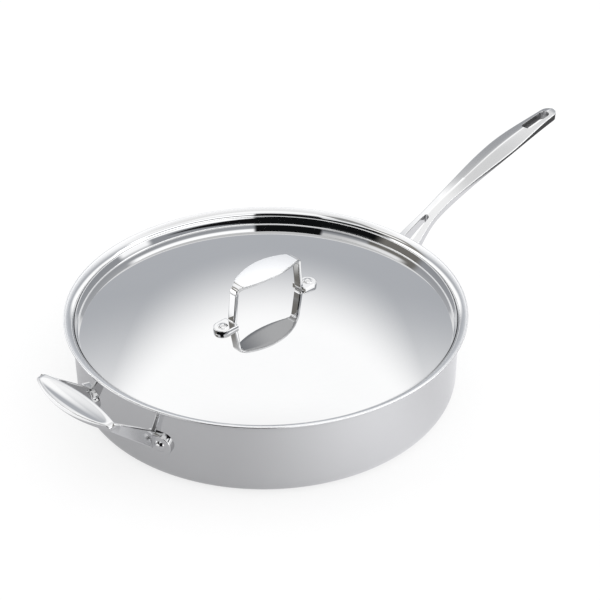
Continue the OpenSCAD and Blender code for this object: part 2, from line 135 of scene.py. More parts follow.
def steel(name, tone, gloss, grain, smudge=0.02, depth=0.0, satin_and_painted_light_tone=0.6, satin_gloss=0.3):
    """Polished steel, whose grain says which way the polishing lines run.

    The metal has the satin tone and gloss where the mesh's satin attribute is 1. On the pan that tone is
    a satin finish; on the handles it is painted light: painted shade on the long handle's facets and
    painted sheen on the lid grip's top and the helper legs' outer sides."""
    material = bpy.data.materials.new(name)
    material.use_nodes = True
    material.node_tree.nodes.clear()
    g = Graph(material.node_tree)
    place = g.node("ShaderNodeTexCoord", out="Object")
    x, y, z = g.split(place)
    radius = g.math("SQRT", x * x + y * y)
    turn = g.math("ARCTAN2", y, x)
    lines = {
        "around": g.vector(turn * 0.35, z * 60.0, radius * 60.0),
        "along_x": g.vector(x * 2.0, y * 90.0, z * 90.0),
        "along_y": g.vector(x * 90.0, y * 2.0, z * 90.0),
    }[grain]
    fine = g.noise(lines, 34.0, 3.0, 0.6)
    broad = g.noise(place, 16.0, 3.0, 0.55)
    worn = g.noise(place, 210.0, 2.0, 0.5)
    light = g.math("ADD", fine * 0.5, broad * 0.5)
    satin_and_painted_light = g.node("ShaderNodeAttribute", {"attribute_name": "satin_and_painted_light"}, out="Fac")
    polished = g.mix(light, grey(tone * 0.965, 0.01), grey(tone * 1.035, 0.0))
    # The second tone: a satin finish on the pan, painted shade on the long handle's facets, painted
    # sheen on the lid grip's top and the helper legs' outer sides.
    satin_and_painted_light_colour = g.mix(fine, grey(satin_and_painted_light_tone * 0.95, 0.02), grey(satin_and_painted_light_tone * 1.05, 0.0))
    colour = g.mix(satin_and_painted_light, polished, satin_and_painted_light_colour)
    rough = gloss + (broad - 0.5) * smudge + (fine - 0.5) * smudge + (worn - 0.5) * (smudge * 0.4)
    rough = rough + satin_and_painted_light * (satin_gloss - gloss + (fine - 0.5) * 0.1)
    values = {"Base Color": colour, "Roughness": g.math("MAXIMUM", rough, SMOOTHEST), "Metallic": 1.0}
    if depth:
        values["Normal"] = g.node("ShaderNodeBump", None,
                                  {"Strength": 0.25, "Distance": depth, "Height": fine})
    shader = g.node("ShaderNodeBsdfPrincipled", None, values)
    g.node("ShaderNodeOutputMaterial", None, {"Surface": shader})
    return material


wall_steel = steel("wall_steel", 0.62, 0.07, "around", 0.03, satin_and_painted_light_tone=0.72, satin_gloss=0.24)
liner_steel = steel("liner_steel", 0.62, 0.06, "around", 0.04, satin_and_painted_light_tone=0.72, satin_gloss=0.24)
core_metal = steel("core_aluminium", 0.72, 0.32, "around", 0.08, depth=0.00002)
lid_steel = steel("lid_steel", 0.62, 0.02, "around", 0.01)
# The long handle's satin tone, darker than its steel, is painted shade on the grip's facets.
handle_steel = steel("handle_steel", 0.70, 0.05, "along_x", satin_and_painted_light_tone=0.40, satin_gloss=0.22)
# The helper handle's satin tone, lighter than its steel, is painted sheen on the legs' outer sides,
# which are also satin.
helper_steel = steel("helper_steel", 0.62, 0.05, "along_y", satin_and_painted_light_tone=0.82, satin_gloss=0.2)
# The lid grip's satin tone, lighter than its steel, is painted sheen on the grip's top face, which is
# also satin.
grip_steel = steel("grip_steel", 0.64, 0.04, "along_x", satin_and_painted_light_tone=0.88, satin_gloss=0.45)
rivet_steel = steel("rivet_steel", 0.62, 0.05, "around")


# Turned pieces and rivets, made by geometry nodes

def turned_tree():
    """Turns a profile about Z, or about each point's outward spoke, and sets one on every point."""
    tree = bpy.data.node_groups.new("turned_metal", "GeometryNodeTree")
    for name, kind in (("Geometry", "Geometry"), ("Profile", "Object"), ("Profile Points", "Int"),
                       ("Steps Around", "Int"), ("Outwards", "Float"), ("Finish", "Material")):
        tree.interface.new_socket(name=name, in_out="INPUT", socket_type="NodeSocket" + kind)
    tree.interface.new_socket(name="Geometry", in_out="OUTPUT", socket_type="NodeSocketGeometry")
    g = Graph(tree)
    given = g.node("NodeGroupInput")
    count = given.out("Profile Points")
    steps = given.out("Steps Around")
    profile = g.node("GeometryNodeObjectInfo", None, {"Object": given.out("Profile")}, "Geometry")
    grid = g.node("GeometryNodeMeshGrid", None, {"Vertices X": steps + 1.0, "Vertices Y": count})
    index = g.node("GeometryNodeInputIndex")
    position = g.node("GeometryNodeInputPosition")
    spot = g.node("GeometryNodeSampleIndex", {"data_type": "FLOAT_VECTOR"},
                  {"Geometry": profile, "Value": position,
                   "Index": g.math("MODULO", index, count)})
    radius, _, height = g.split(spot)
    angle = g.math("FLOOR", (index + 0.5) / count) * (2 * math.pi) / steps
    turned = g.node("GeometryNodeSetPosition", None,
                    {"Geometry": grid,
                     "Position": g.vector(radius * g.math("COSINE", angle),
                                          radius * g.math("SINE", angle), height)})
    x, y, _ = g.split(position)
    outwards = given.out("Outwards")
    facing = g.node("FunctionNodeAlignRotationToVector", {"axis": "Z"},
                    {"Vector": g.vector(x * outwards, y * outwards, 1 - outwards)})
    stood = g.node("GeometryNodeInstanceOnPoints", None,
                   {"Points": given, "Instance": turned, "Rotation": facing})
    real = g.node("GeometryNodeRealizeInstances", None, {"Geometry": stood})
    done = g.node("GeometryNodeSetMaterial", None,
                  {"Geometry": real, "Material": given.out("Finish")})
    g.node("NodeGroupOutput", None, {"Geometry": done})
    return tree


TURNED = turned_tree()


def placed(name, mesh):
    """An object for a mesh, at the origin."""
    made = bpy.data.objects.new(name, mesh)
    bpy.context.scene.collection.objects.link(made)
    return made


def point_object(name, points):
    """An object that is only points, given in mm."""
    mesh = bpy.data.meshes.new(name)
    mesh.from_pydata([Vector(p) * MM for p in points], [], [])
    return placed(name, mesh)


def clean(mesh, sharp_deg):
    """Closes seams and poles, turns the faces outwards and smooths all but the sharp edges."""
    bm = bmesh.new()
    bm.from_mesh(mesh)
    bmesh.ops.remove_doubles(bm, verts=bm.verts, dist=2e-6)
    bmesh.ops.dissolve_degenerate(bm, edges=bm.edges, dist=1e-7)
    bmesh.ops.recalc_face_normals(bm, faces=bm.faces)
    bm.to_mesh(mesh)
    bm.free()
    mesh.shade_smooth()
    mesh.set_sharp_from_angle(angle=math.radians(sharp_deg))


def turned(name, profile, finish, steps=360, points=((0, 0, 0),), outwards=0.0, sharp_deg=32):
    """A piece turned from a profile of (radius, height) points."""
    shape = point_object(name + "_profile", [(r, 0, z) for r, z in profile])
    carrier = point_object(name + "_points", points)
    modifier = carrier.modifiers.new("turned", "NODES")
    modifier.node_group = TURNED
    ids = {i.name: i.identifier for i in TURNED.interface.items_tree if i.in_out == "INPUT"}
    modifier[ids["Profile"]] = shape
    modifier[ids["Profile Points"]] = len(profile)
    modifier[ids["Steps Around"]] = steps
    modifier[ids["Outwards"]] = outwards
    modifier[ids["Finish"]] = finish
    graph = bpy.context.evaluated_depsgraph_get()
    mesh = bpy.data.meshes.new_from_object(carrier.evaluated_get(graph))
    bpy.data.objects.remove(carrier)
    bpy.data.objects.remove(shape)
    mesh.name = name
    clean(mesh, sharp_deg)
    return placed(name, mesh)


def arc(centre, radius, start, end, steps):
    """Points of an arc between two angles in degrees, both ends included."""
    return [(centre[0] + radius * math.cos(math.radians(start + (end - start) * i / steps)),
             centre[1] + radius * math.sin(math.radians(start + (end - start) * i / steps)))
            for i in range(steps + 1)]


def line(a, b, steps):
    """Points between a and b, both ends left out."""
    return [(a[0] + (b[0] - a[0]) * i / steps, a[1] + (b[1] - a[1]) * i / steps)
            for i in range(1, steps)]


def blend(a, b, share):
    """A value a share of the way from a to b."""
    return a + (b - a) * share


def ease(x, x0, x1, a, b):
    """Smooth change from a to b while x goes from x0 to x1."""
    u = min(1, max(0, (x - x0) / (x1 - x0)))
    return a + (b - a) * u * u * (3 - 2 * u)


def satin_and_painted_light(piece, rule):
    """Marks the points of a piece that get the satin tone and gloss: a satin finish on the pan, painted
    shade on the long handle's facets and painted sheen on the lid grip's top and the helper legs' outer
    sides. rule takes a point in mm.
    """
    values = [rule(*(v.co / MM)) for v in piece.data.vertices]
    layer = piece.data.attributes.new("satin_and_painted_light", "FLOAT", "POINT")
    layer.data.foreach_set("value", values)


# Pan

INNER_R, WALL_T = 158.8, 2.5
WALL_R = INNER_R + WALL_T
PAN_H, CORNER_R, PLY = 71.5, 13.0, 0.5
LIP_SATIN, LINING_SATIN = (69.9, 71.1), (54.0, 60.0)
CORNER_X = WALL_R - CORNER_R
FLARE_R, FLARE_SWEEP = 9.2, 80.0
FLARE_OUT = FLARE_R - WALL_T
LIP_ANGLE = 180 - FLARE_SWEEP
FLARE = (INNER_R + FLARE_R,
         PAN_H - (FLARE_R - WALL_T / 2) * math.sin(math.radians(FLARE_SWEEP)) - WALL_T / 2)
LIP = arc(FLARE, FLARE_R - WALL_T / 2, LIP_ANGLE, LIP_ANGLE, 1)[0]


def wall_face(inset):
    """One face of the wall, from the axis out over the base and up to the lip."""
    r = CORNER_R - inset
    return ([(0, inset)] + line((0, inset), (CORNER_X, inset), 14)
            + arc((CORNER_X, CORNER_R), r, -90, 0, 16)
            + line((WALL_R - inset, CORNER_R), (WALL_R - inset, FLARE[1]), 12)
            + arc(FLARE, FLARE_OUT + inset, 180, LIP_ANGLE, 20))


skin_profile = (wall_face(0) + arc(LIP, WALL_T / 2, LIP_ANGLE - 180, LIP_ANGLE, 20)[1:]
                + arc(LIP, WALL_T / 2 - PLY, LIP_ANGLE, LIP_ANGLE - 180, 12)
                + wall_face(PLY)[-2::-1])
liner_profile = wall_face(WALL_T) + wall_face(WALL_T - PLY)[::-1]
pan_skin = turned("pan_skin", skin_profile, wall_steel)
pan_lining = turned("pan_lining", liner_profile, liner_steel)


def on_lip(x, y, z):
    """1 on the lip of the rim, 0 below it."""
    return ease(z, *LIP_SATIN, 0.0, 1.0)


def on_lining(x, y, z):
    """1 on the lip and inside the pan, 0 on the polished flare under the lip."""
    return max(on_lip(x, y, z), ease(z, *LINING_SATIN, 1.0, 0.0))


satin_and_painted_light(pan_skin, on_lip)
satin_and_painted_light(pan_lining, on_lining)


# Lid, with a rounder dome and a deeper edge than the solid's, as the rim's dark bands show them

LID_T, LID_GAP, DOME_R, BEND_R, BEND_INSET, EDGE_RISE = 1.0, 0.3, 1150.0, 1.0, 2.4, 6.35
SEAT, SEAT_R = math.radians(20), FLARE_R + LID_GAP + LID_T / 2
EDGE = (FLARE[0] - SEAT_R * math.cos(SEAT), FLARE[1] + SEAT_R * math.sin(SEAT))
BEND = (INNER_R - BEND_INSET, EDGE[1] - EDGE_RISE)
edge_run = math.hypot(EDGE[0] - BEND[0], EDGE[1] - BEND[1])
EDGE_ANGLE = math.degrees(math.atan2(EDGE[1] - BEND[1], EDGE[0] - BEND[0])
                          + math.asin((BEND_R + LID_T / 2) / edge_run))
DOME_ANGLE = math.degrees(math.asin(BEND[0] / (DOME_R + BEND_R)))
DOME_Z = BEND[1] - (DOME_R + BEND_R) * math.cos(math.radians(DOME_ANGLE))
LID_TOP = DOME_Z + DOME_R


def lid_face(depth):
    """One face of the lid, from its middle to its turned-up edge."""
    return (arc((0, DOME_Z), DOME_R - depth, 90, 90 - DOME_ANGLE, 60)
            + arc(BEND, BEND_R + depth, -90 - DOME_ANGLE, EDGE_ANGLE - 90, 16)[1:])


lid_profile = (lid_face(0) + arc(EDGE, LID_T / 2, EDGE_ANGLE + 90, EDGE_ANGLE - 90, 10)
               + lid_face(LID_T)[::-1])
lid_sheet = turned("lid_sheet", lid_profile, lid_steel)


def dome_at(x):
    """Height of the dome's upper side at x mm from the axis."""
    return DOME_Z + math.sqrt(DOME_R ** 2 - x ** 2)


# Rivets

def rivet_profile(shank, grip, head_r, head_h, tail_r, tail_h):
    """Domed head on z = 0, shank, and a flatter head at the far end."""
    cap_r = (head_r ** 2 + head_h ** 2) / (2 * head_h)
    spread = math.degrees(math.asin(min(1, head_r / cap_r)))
    head = arc((0, head_h - cap_r), cap_r, 90, 90 - spread, 14)
    soft = min(0.4, tail_h / 2)
    tail = ([(shank, -grip), (tail_r - soft, -grip)]
            + arc((tail_r - soft, -grip - tail_h + soft), soft, 90, -90, 8)[1:])
    tail = [(r, max(z, -grip - tail_h)) for r, z in tail]
    return head + [(shank, 0)] + tail + [(0, -grip - tail_h)]


SADDLE_T, HELPER_FOOT_T = 4.0, 3.4
SHANK_R, HEAD_R, HEAD_H, TAIL_R, TAIL_H = 2.6, 4.9, 2.4, 6.0, 1.2
HANDLE_RIVET_Y, SADDLE_Z = 19.0, 38.0
LEG_T, ROOT_Y, RIVET_GAP, HELPER_FOOT_Z = 4.0, 38.0, 0.6, 35.5
HELPER_RIVET_Y = ROOT_Y + LEG_T / 2 + RIVET_GAP + HEAD_R
RIVET_STEPS = 64
inside_x = math.sqrt(INNER_R ** 2 - TAIL_R ** 2)


def spoke(side, y, z, out):
    """A point out mm off the wall, on the side of +X or -X."""
    turn = math.asin(y / WALL_R)
    return (side * (WALL_R + out) * math.cos(turn), (WALL_R + out) * math.sin(turn), z)


def wall_rivets(name, side, thickness, y, z):
    """Two rivets through the pan's wall and a plate on it."""
    profile = rivet_profile(SHANK_R, WALL_R + thickness - inside_x, HEAD_R, HEAD_H, TAIL_R, TAIL_H)
    points = [spoke(side, s * y, z, thickness) for s in (-1, 1)]
    return turned(name, profile, rivet_steel, RIVET_STEPS, points, 1.0)


handle_rivets = wall_rivets("handle_rivets", 1, SADDLE_T, HANDLE_RIVET_Y, SADDLE_Z)
helper_rivets = wall_rivets("helper_rivets", -1, HELPER_FOOT_T, HELPER_RIVET_Y, HELPER_FOOT_Z)
LID_RIVET_X, FOOT_T = 49.2, 3.4
LID_SHANK_R, LID_HEAD_R, LID_HEAD_H, LID_TAIL_R, LID_TAIL_H = 2.0, 4.4, 2.2, 4.6, 1.0
FOOT_Z = dome_at(LID_RIVET_X) + FOOT_T
under_z = DOME_Z + math.sqrt((DOME_R - LID_T) ** 2 - (LID_RIVET_X + LID_TAIL_R) ** 2)
lid_rivets = turned(
    "lid_rivets",
    rivet_profile(LID_SHANK_R, FOOT_Z - under_z, LID_HEAD_R, LID_HEAD_H, LID_TAIL_R, LID_TAIL_H),
    rivet_steel, RIVET_STEPS, [(s * LID_RIVET_X, 0, FOOT_Z) for s in (-1, 1)])


# Meshes built from rows of points

def grid_faces(rows, columns):
    """Faces between neighbouring rows of points, closed round each row."""
    return [(i * columns + j, i * columns + (j + 1) % columns,
             (i + 1) * columns + (j + 1) % columns, (i + 1) * columns + j)
            for i in range(rows - 1) for j in range(columns)]


def lofted(rows):
    """A closed skin over rows of points, with a face at each end."""
    columns = len(rows[0])
    last = (len(rows) - 1) * columns
    faces = grid_faces(len(rows), columns)
    faces += [tuple(range(columns)), tuple(range(last, last + columns))]
    return [p for row in rows for p in row], faces


def edge_rings(height, edge):
    """Inset and height of the rings that round the upper edge of a plate."""
    return [(0, height - edge)] + [
        (edge * (1 - math.cos(math.radians(a))), height - edge * (1 - math.sin(math.radians(a))))
        for a in (15, 30, 45, 60, 75, 90)]


def soft_section(top, brow, low, edge, across):
    """A closed section: the top row of points, edges rounded below brow and a flat underside at low."""
    x0, x1 = top[0][0], top[-1][0]
    return (top + arc((x1, brow - edge), edge, 67.5, 0, 3) + arc((x1, low + edge), edge, 0, -90, 4)
            + line((x1, low), (x0, low), across)
            + arc((x0, low + edge), edge, -90, -180, 4) + arc((x0, brow - edge), edge, 180, 112.5, 3))


def shape(name, parts, finish, sharp_deg=32):
    """One mesh from several (points, faces) parts."""
    points, faces = [], []
    for some, their in parts:
        base = len(points)
        points += [Vector(p) * MM for p in some]
        faces += [tuple(base + k for k in f) for f in their]
    mesh = bpy.data.meshes.new(name)
    mesh.from_pydata(points, [], faces)
    mesh.materials.append(finish)
    clean(mesh, sharp_deg)
    return placed(name, mesh)


def wall_plate(side, thickness, y0, y1, z, half_h, edge=0.9):
    """A stadium plate bent round the wall, with a rounded edge. side is 1 for +X and -1 for -X."""
    rings = [(0, -0.4)] + edge_rings(thickness, edge)
    rings += [(edge + (half_h - edge) * k / 6, thickness) for k in range(1, 7)]
    points = []
    for inset, out in rings:
        r = half_h - inset
        outline = (arc((y1, z), r, -90, 90, 14) + line((y1, z + r), (y0, z + r), 16)
                   + arc((y0, z), r, 90, 270, 14) + line((y0, z - r), (y1, z - r), 16))
        points += [spoke(side, y, height, out) for y, height in outline]
    return points, grid_faces(len(rings), len(points) // len(rings))


# Long handle

REACH, ROOT_Z, ROOT_ANGLE = 235.7, 43.9, 38.7
ROOT_BEND, ROOT_R, TOP_R = 73.7, 240.0, 810.0
TIP_X = WALL_R + REACH
BEND_END = WALL_R + ROOT_BEND
root_sin = math.sin(math.radians(ROOT_ANGLE))
end_sin = root_sin - ROOT_BEND / ROOT_R
BEND_END_Z = ROOT_Z + ROOT_R * (math.sqrt(1 - end_sin ** 2) - math.sqrt(1 - root_sin ** 2))
START_X, WAIST_X, WIDEST_X = WALL_R + 2, WALL_R + 54.2, WALL_R + 155.6
FORK_W, WAIST_W, WIDE_W, TIP_W = 14.0, 7.5, 13.3, 9.0
CREST, FORK_D, GRIP_D, THIN_SIDE, EDGE_B, SLOT_B = 2.6, 12.0, 7.5, 2.2, 0.9, 0.6
ROUND_X = TIP_X - TIP_W
SLOT_END, SLOT_ROOT_W, SLOT_END_W = WALL_R + 47, 6.5, 2.9
EYE_END, EYE_LEN, EYE_W = TIP_X - 10, 36.5, 4.8
SLOT_NECK = SLOT_END - SLOT_END_W
EYE_FIRST, EYE_LAST = EYE_END - EYE_LEN + EYE_W, EYE_END - EYE_W
STATIONS, LEAST_STEP, LEAST_W = 170, 0.004, 0.02


def top_z(x):
    """Height of the handle's upper edge: one arc at the root and a flatter one along the grip."""
    if x < BEND_END:
        slope = root_sin - (x - WALL_R) / ROOT_R
        return ROOT_Z + ROOT_R * (math.sqrt(1 - slope ** 2) - math.sqrt(1 - root_sin ** 2))
    slope = end_sin - (x - BEND_END) / TOP_R
    return BEND_END_Z + TOP_R * (math.sqrt(1 - slope ** 2) - math.sqrt(1 - end_sin ** 2))


def plain_w(x):
    """Half the width, without the rounded tip."""
    if x < WAIST_X:
        return ease(x, START_X, WAIST_X, FORK_W, WAIST_W)
    if x < WIDEST_X:
        return ease(x, WAIST_X, WIDEST_X, WAIST_W, WIDE_W)
    return ease(x, WIDEST_X, TIP_X, WIDE_W, TIP_W - 1)


def round_end(x, inset):
    """Share of the width that is left by the rounded tip."""
    if x <= ROUND_X:
        return 1.0
    return math.sqrt(max(0.0, 1 - ((x - ROUND_X) / (TIP_W - inset)) ** 2))


def depth(x):
    """Full depth of the long handle."""
    return ease(x, START_X, WAIST_X, FORK_D, GRIP_D)


def side_h(x):
    """Height of the flat side between its two edges."""
    if x < WIDEST_X:
        return ease(x, WAIST_X, WIDEST_X, depth(x) - 2 * EDGE_B, THIN_SIDE)
    return ease(x, WIDEST_X, ROUND_X, THIN_SIDE, GRIP_D - 2 * EDGE_B)


def gap(x, grow=0.0):
    """Half the width of the slot or the eye at x, grown by the bevel along its edge."""
    if x < SLOT_NECK:
        share = (x - WALL_R - SADDLE_T) / (SLOT_NECK - WALL_R - SADDLE_T)
        return blend(SLOT_ROOT_W, SLOT_END_W, share) + grow
    if x < SLOT_END + grow:
        return math.sqrt(max(0.0, (SLOT_END_W + grow) ** 2 - (x - SLOT_NECK) ** 2))
    away = max(EYE_FIRST - x, x - EYE_LAST, 0.0)
    return math.sqrt(max(0.0, (EYE_W + grow) ** 2 - away ** 2))


def rounding(share, size):
    """Drop of a rounded edge at a share of its width, 0 at its outer side."""
    return size * (1 - math.sqrt(max(0.0, 1 - (1 - min(1, max(0, share))) ** 2)))


def handle_row(x):
    """Half section of the long handle, from the foot of the gap's wall over the top to the underside."""
    z, low_z, side_z = top_z(x), top_z(x) - depth(x), top_z(x) - EDGE_B - side_h(x)
    full_w = plain_w(x) * round_end(x, 0)
    w = max(full_w, LEAST_W)
    w_in = min(w, max(0.0, (plain_w(x) - EDGE_B) * round_end(x, EDGE_B)))
    h_in = min(gap(x, SLOT_B), w_in)
    h = min(gap(x), h_in)
    end_drop = rounding((TIP_X - x) / EDGE_B, EDGE_B) if x > TIP_X - EDGE_B else 0.0
    gap_drop = SLOT_B if h > 0 else 0.0
    if h == 0 and h_in > 0:
        centre, r = (SLOT_NECK, SLOT_END_W) if x < WIDEST_X else (
            (EYE_LAST if x > EYE_LAST else EYE_FIRST), EYE_W)
        gap_drop = rounding((abs(x - centre) - r) / SLOT_B, SLOT_B)
    height = CREST * (full_w / WIDE_W) ** (3 if x < WIDEST_X else 1)

    def crest(y):
        t = y / max(w_in, 0.5)
        return height * (1 - (math.sqrt(t * t + 0.01) - 0.1) / 0.905) if w_in > 0.5 else 0.0

    row = [(x, h, low_z), (x, h, z + crest(h) - gap_drop - 0.01)]
    for k in (0.0, 0.25, 0.5, 0.75, 1.0):
        y = blend(h, h_in, k)
        drop = rounding(k, gap_drop) if h > 0 else gap_drop * (1 - k) ** 2
        row.append((x, y, z + crest(y) - drop - end_drop))
    for k in range(1, 11):
        y = blend(h_in, w_in, k / 10)
        row.append((x, y, z + crest(y) - end_drop))
    for a in (18, 36, 54, 72, 90):
        y = blend(w_in, w, math.sin(math.radians(a)))
        row.append((x, y, z - max(end_drop, EDGE_B * (1 - math.cos(math.radians(a))))))
    low_w = max(w * 0.35, w - (side_z - low_z) * 1.2)
    soft = min(1, w)
    row += [(x, w, side_z), (x, w - 0.15 * soft, side_z - 0.2),
            (x, low_w + 0.2 * soft, low_z + 0.15), (x, low_w, low_z), (x, (low_w + h) / 2, low_z)]
    return row, h


def handle_stations():
    """Places along the handle for its sections, closer together round the slot, the eye and the tip."""
    xs = [START_X + (TIP_X - START_X) * k / STATIONS for k in range(STATIONS + 1)]
    for a in range(0, 91, 6):
        share = math.sin(math.radians(a))
        for centre, radius, bevel in ((SLOT_NECK, SLOT_END_W, SLOT_B), (EYE_FIRST, -EYE_W, -SLOT_B),
                                      (EYE_LAST, EYE_W, SLOT_B), (ROUND_X, TIP_W, -EDGE_B)):
            xs += [centre + radius * share, centre + (radius + bevel) * share]
    xs.sort()
    kept = [xs[0]]
    for x in xs[1:]:
        if x - kept[-1] > LEAST_STEP:
            kept.append(x)
    return kept


def long_handle_parts():
    """The two halves of the long handle, open between them only along the slot and the eye."""
    rows, gaps = zip(*[handle_row(x) for x in handle_stations()])
    columns = len(rows[0])
    parts = []
    for side in (1, -1):
        points = [(p[0], side * p[1], p[2]) for row in rows for p in row]
        faces = []
        for i in range(len(rows) - 1):
            for j in range(columns):
                if j == 0 and gaps[i] == 0 and gaps[i + 1] == 0:
                    continue
                k = (j + 1) % columns
                faces.append((i * columns + j, i * columns + k,
                              (i + 1) * columns + k, (i + 1) * columns + j))
        faces.append(tuple(range(columns)))
        faces.append(tuple((len(rows) - 1) * columns + j for j in range(columns)))
        parts.append((points, faces))
    return parts


long_handle = shape(
    "long_handle_bar",
    long_handle_parts() + [wall_plate(1, SADDLE_T, -16.0, 16.0, SADDLE_Z, 13.0)],
    handle_steel, 30)


def on_facets_with_painted_shade(x, y, z):
    """Above 0 on the two wide facets of the grip, as painted shade that is deeper on the +Y facet than
    on the -Y facet and fades out towards the root, and inside the eye, where it is darker and roughest.
    """
    if EYE_END - EYE_LEN - 0.1 < x < EYE_END + 0.1 and abs(y) < gap(x) + 0.05:
        return 3.0 if z < top_z(x) - 0.6 else 0.0
    w_in = (plain_w(x) - EDGE_B) * round_end(x, EDGE_B) if x < TIP_X - EDGE_B else 0.0
    if abs(y) < 0.9 or abs(y) > w_in + 0.1 or z < top_z(x) - 0.12:
        return 0.0
    # Painted shade: full on the +Y facet, 0.62 of it on the -Y facet.
    return ease(x, WAIST_X + 10, WAIST_X + 50, 0.0, 1.0 if y > 0 else 0.62)


satin_and_painted_light(long_handle, on_facets_with_painted_shade)


# Lid handle

GRIP_HALF, GRIP_W, GRIP_END_W, GRIP_H, ARCH = 33.5, 13.4, 4.8, 34.03, 3.0
STRAP_T, LEG_OUT, LEG_LEAN, LEG_W, GRIP_CORNER, CROWN_R = 3.3, 40.0, 2.4, 4.0, 8.0, 130.0
FOOT_R, FOOT_START, FOOT_EDGE, FILLET, SINK = 7.8, 39.0, 0.8, 1.2, 0.06
STRAP_EDGE, CORNER_START, CORNER_END = 0.9, 80, 3
GRIP_Z = LID_TOP + GRIP_H
ARCH_R = (GRIP_HALF ** 2 + ARCH ** 2) / (2 * ARCH)
ARCH_Z = GRIP_Z + ARCH - ARCH_R
CORNER = (LEG_OUT - LEG_LEAN - GRIP_CORNER, GRIP_Z - GRIP_CORNER)
CORNER_X = CORNER[0] + GRIP_CORNER * math.cos(math.radians(CORNER_START))
ARCH_ANGLE = math.degrees(math.asin(CORNER_X / ARCH_R))
SIDE_R = (GRIP_HALF ** 2 + (GRIP_W - GRIP_END_W) ** 2) / (2 * (GRIP_W - GRIP_END_W))


def strap_w(x):
    """Half the width of the grip: a leaf that narrows to the legs."""
    leaf = math.sqrt(max(0.0, SIDE_R ** 2 - x ** 2)) + GRIP_W - SIDE_R
    soft = 0.6
    return LEG_W + (leaf - LEG_W + math.sqrt((leaf - LEG_W) ** 2 + soft)) / 2


def strap_path():
    """Outer face of the strap and its outward direction, from the middle of the grip to a foot."""
    path = []
    for centre, radius, first, last, steps in (
            ((0, ARCH_Z), ARCH_R, 90, 90 - ARCH_ANGLE, 40),
            (CORNER, GRIP_CORNER, CORNER_START, CORNER_END, 16)):
        for x, z in arc(centre, radius, first, last, steps)[1 if path else 0:]:
            path.append((x, z, (x - centre[0]) / radius, (z - centre[1]) / radius))
    x0, z0 = path[-1][:2]
    x1, z1 = LEG_OUT, FOOT_Z + FILLET
    length = math.hypot(x1 - x0, z1 - z0)
    out = (z0 - z1) / length, (x1 - x0) / length
    path += [(x, z, *out) for x, z in line((x0, z0), (x1, z1), 8) + [(x1, z1)]]
    for a in range(10, 91, 10):
        nx, nz = math.cos(math.radians(a)), math.sin(math.radians(a))
        path.append((LEG_OUT + FILLET * (1 - nx), FOOT_Z + FILLET * (1 - nz) - SINK, nx, nz))
    path.append((LID_RIVET_X, FOOT_Z - SINK, 0.0, 1.0))
    return path


def strap_part():
    """The strap, from one foot over the grip to the other."""
    half = strap_path()
    path = [(-x, z, -nx, nz) for x, z, nx, nz in half[:0:-1]] + half
    rows = []
    for x, z, nx, nz in path:
        on_grip = z > GRIP_Z - GRIP_CORNER - 1
        flat = (strap_w(x) if on_grip else LEG_W) - STRAP_EDGE
        thick = STRAP_T if z > FOOT_Z + 1.5 else FOOT_T
        crown = [(flat * k / 6, -(flat * k / 6) ** 2 / (2 * CROWN_R)) for k in range(-6, 7)]
        section = soft_section(crown, crown[0][1], -thick, STRAP_EDGE, 6)
        rows.append([(x + nx * out, y, z + nz * out) for y, out in section])
    return lofted(rows)


def tongue_part(side):
    """A foot with a round outer end and a soft edge, standing on the lid."""
    middle = (FOOT_START + LID_RIVET_X) / 2
    rows = []
    for inset, up in [(0, -0.5)] + edge_rings(FOOT_T, FOOT_EDGE) + [(FOOT_EDGE + 0.4, FOOT_T)]:
        r = FOOT_R - inset
        outline = ([(FOOT_START + inset, -r), (middle, -r)] + arc((LID_RIVET_X, 0), r, -90, 90, 40)
                   + [(middle, r), (FOOT_START + inset, r)])
        rows.append([(side * x, y, FOOT_Z - FOOT_T + up) for x, y in outline])
    return lofted(rows)


lid_grip = shape("lid_grip", [strap_part(), tongue_part(-1), tongue_part(1)], grip_steel)


def on_pad_with_painted_sheen(x, y, z):
    """1 on the grip's top face, which is satin with a lighter tone than the rest of the grip: painted
    sheen.
    """
    if abs(x) > CORNER[0]:
        return 0.0
    top = ARCH_Z + math.sqrt(ARCH_R ** 2 - x * x) - y * y / (2 * CROWN_R)
    return 1.0 if z > top - 0.1 else 0.0


satin_and_painted_light(lid_grip, on_pad_with_painted_sheen)


# Helper handle

HELPER_IN, HELPER_OUT, HELPER_HALF = WALL_R + 28.3, WALL_R + 48.7, 44.5
IN_BOW, OUT_BOW, HELPER_TOP, HELPER_T, DISH = 5.6, 9.5, 77.0, 5.0, 1.5
FOOT_HALF, END_ROUND, HELPER_EDGE, LEG_EDGE, LEG_REACH = 9.0, 4.0, 0.9, 0.7, 43.0
DISH_R, DISH_TAPER = 16.0, 1000.0
IN_R = (HELPER_HALF ** 2 + IN_BOW ** 2) / (2 * IN_BOW)
OUT_R = (HELPER_HALF ** 2 + OUT_BOW ** 2) / (2 * OUT_BOW)
MID_X = (HELPER_IN + HELPER_OUT) / 2
END_IN, END_OUT = HELPER_IN + IN_BOW, HELPER_OUT - OUT_BOW
LEG_START = math.sqrt(WALL_R ** 2 - ROOT_Y ** 2) - 1.5


def dish_drop(x, y):
    """Depth of the dish at a point of the helper's top."""
    bottom = DISH - y * y / DISH_TAPER
    return max(0.0, bottom - (DISH_R - math.sqrt(max(0.0, DISH_R ** 2 - (x - MID_X) ** 2))))


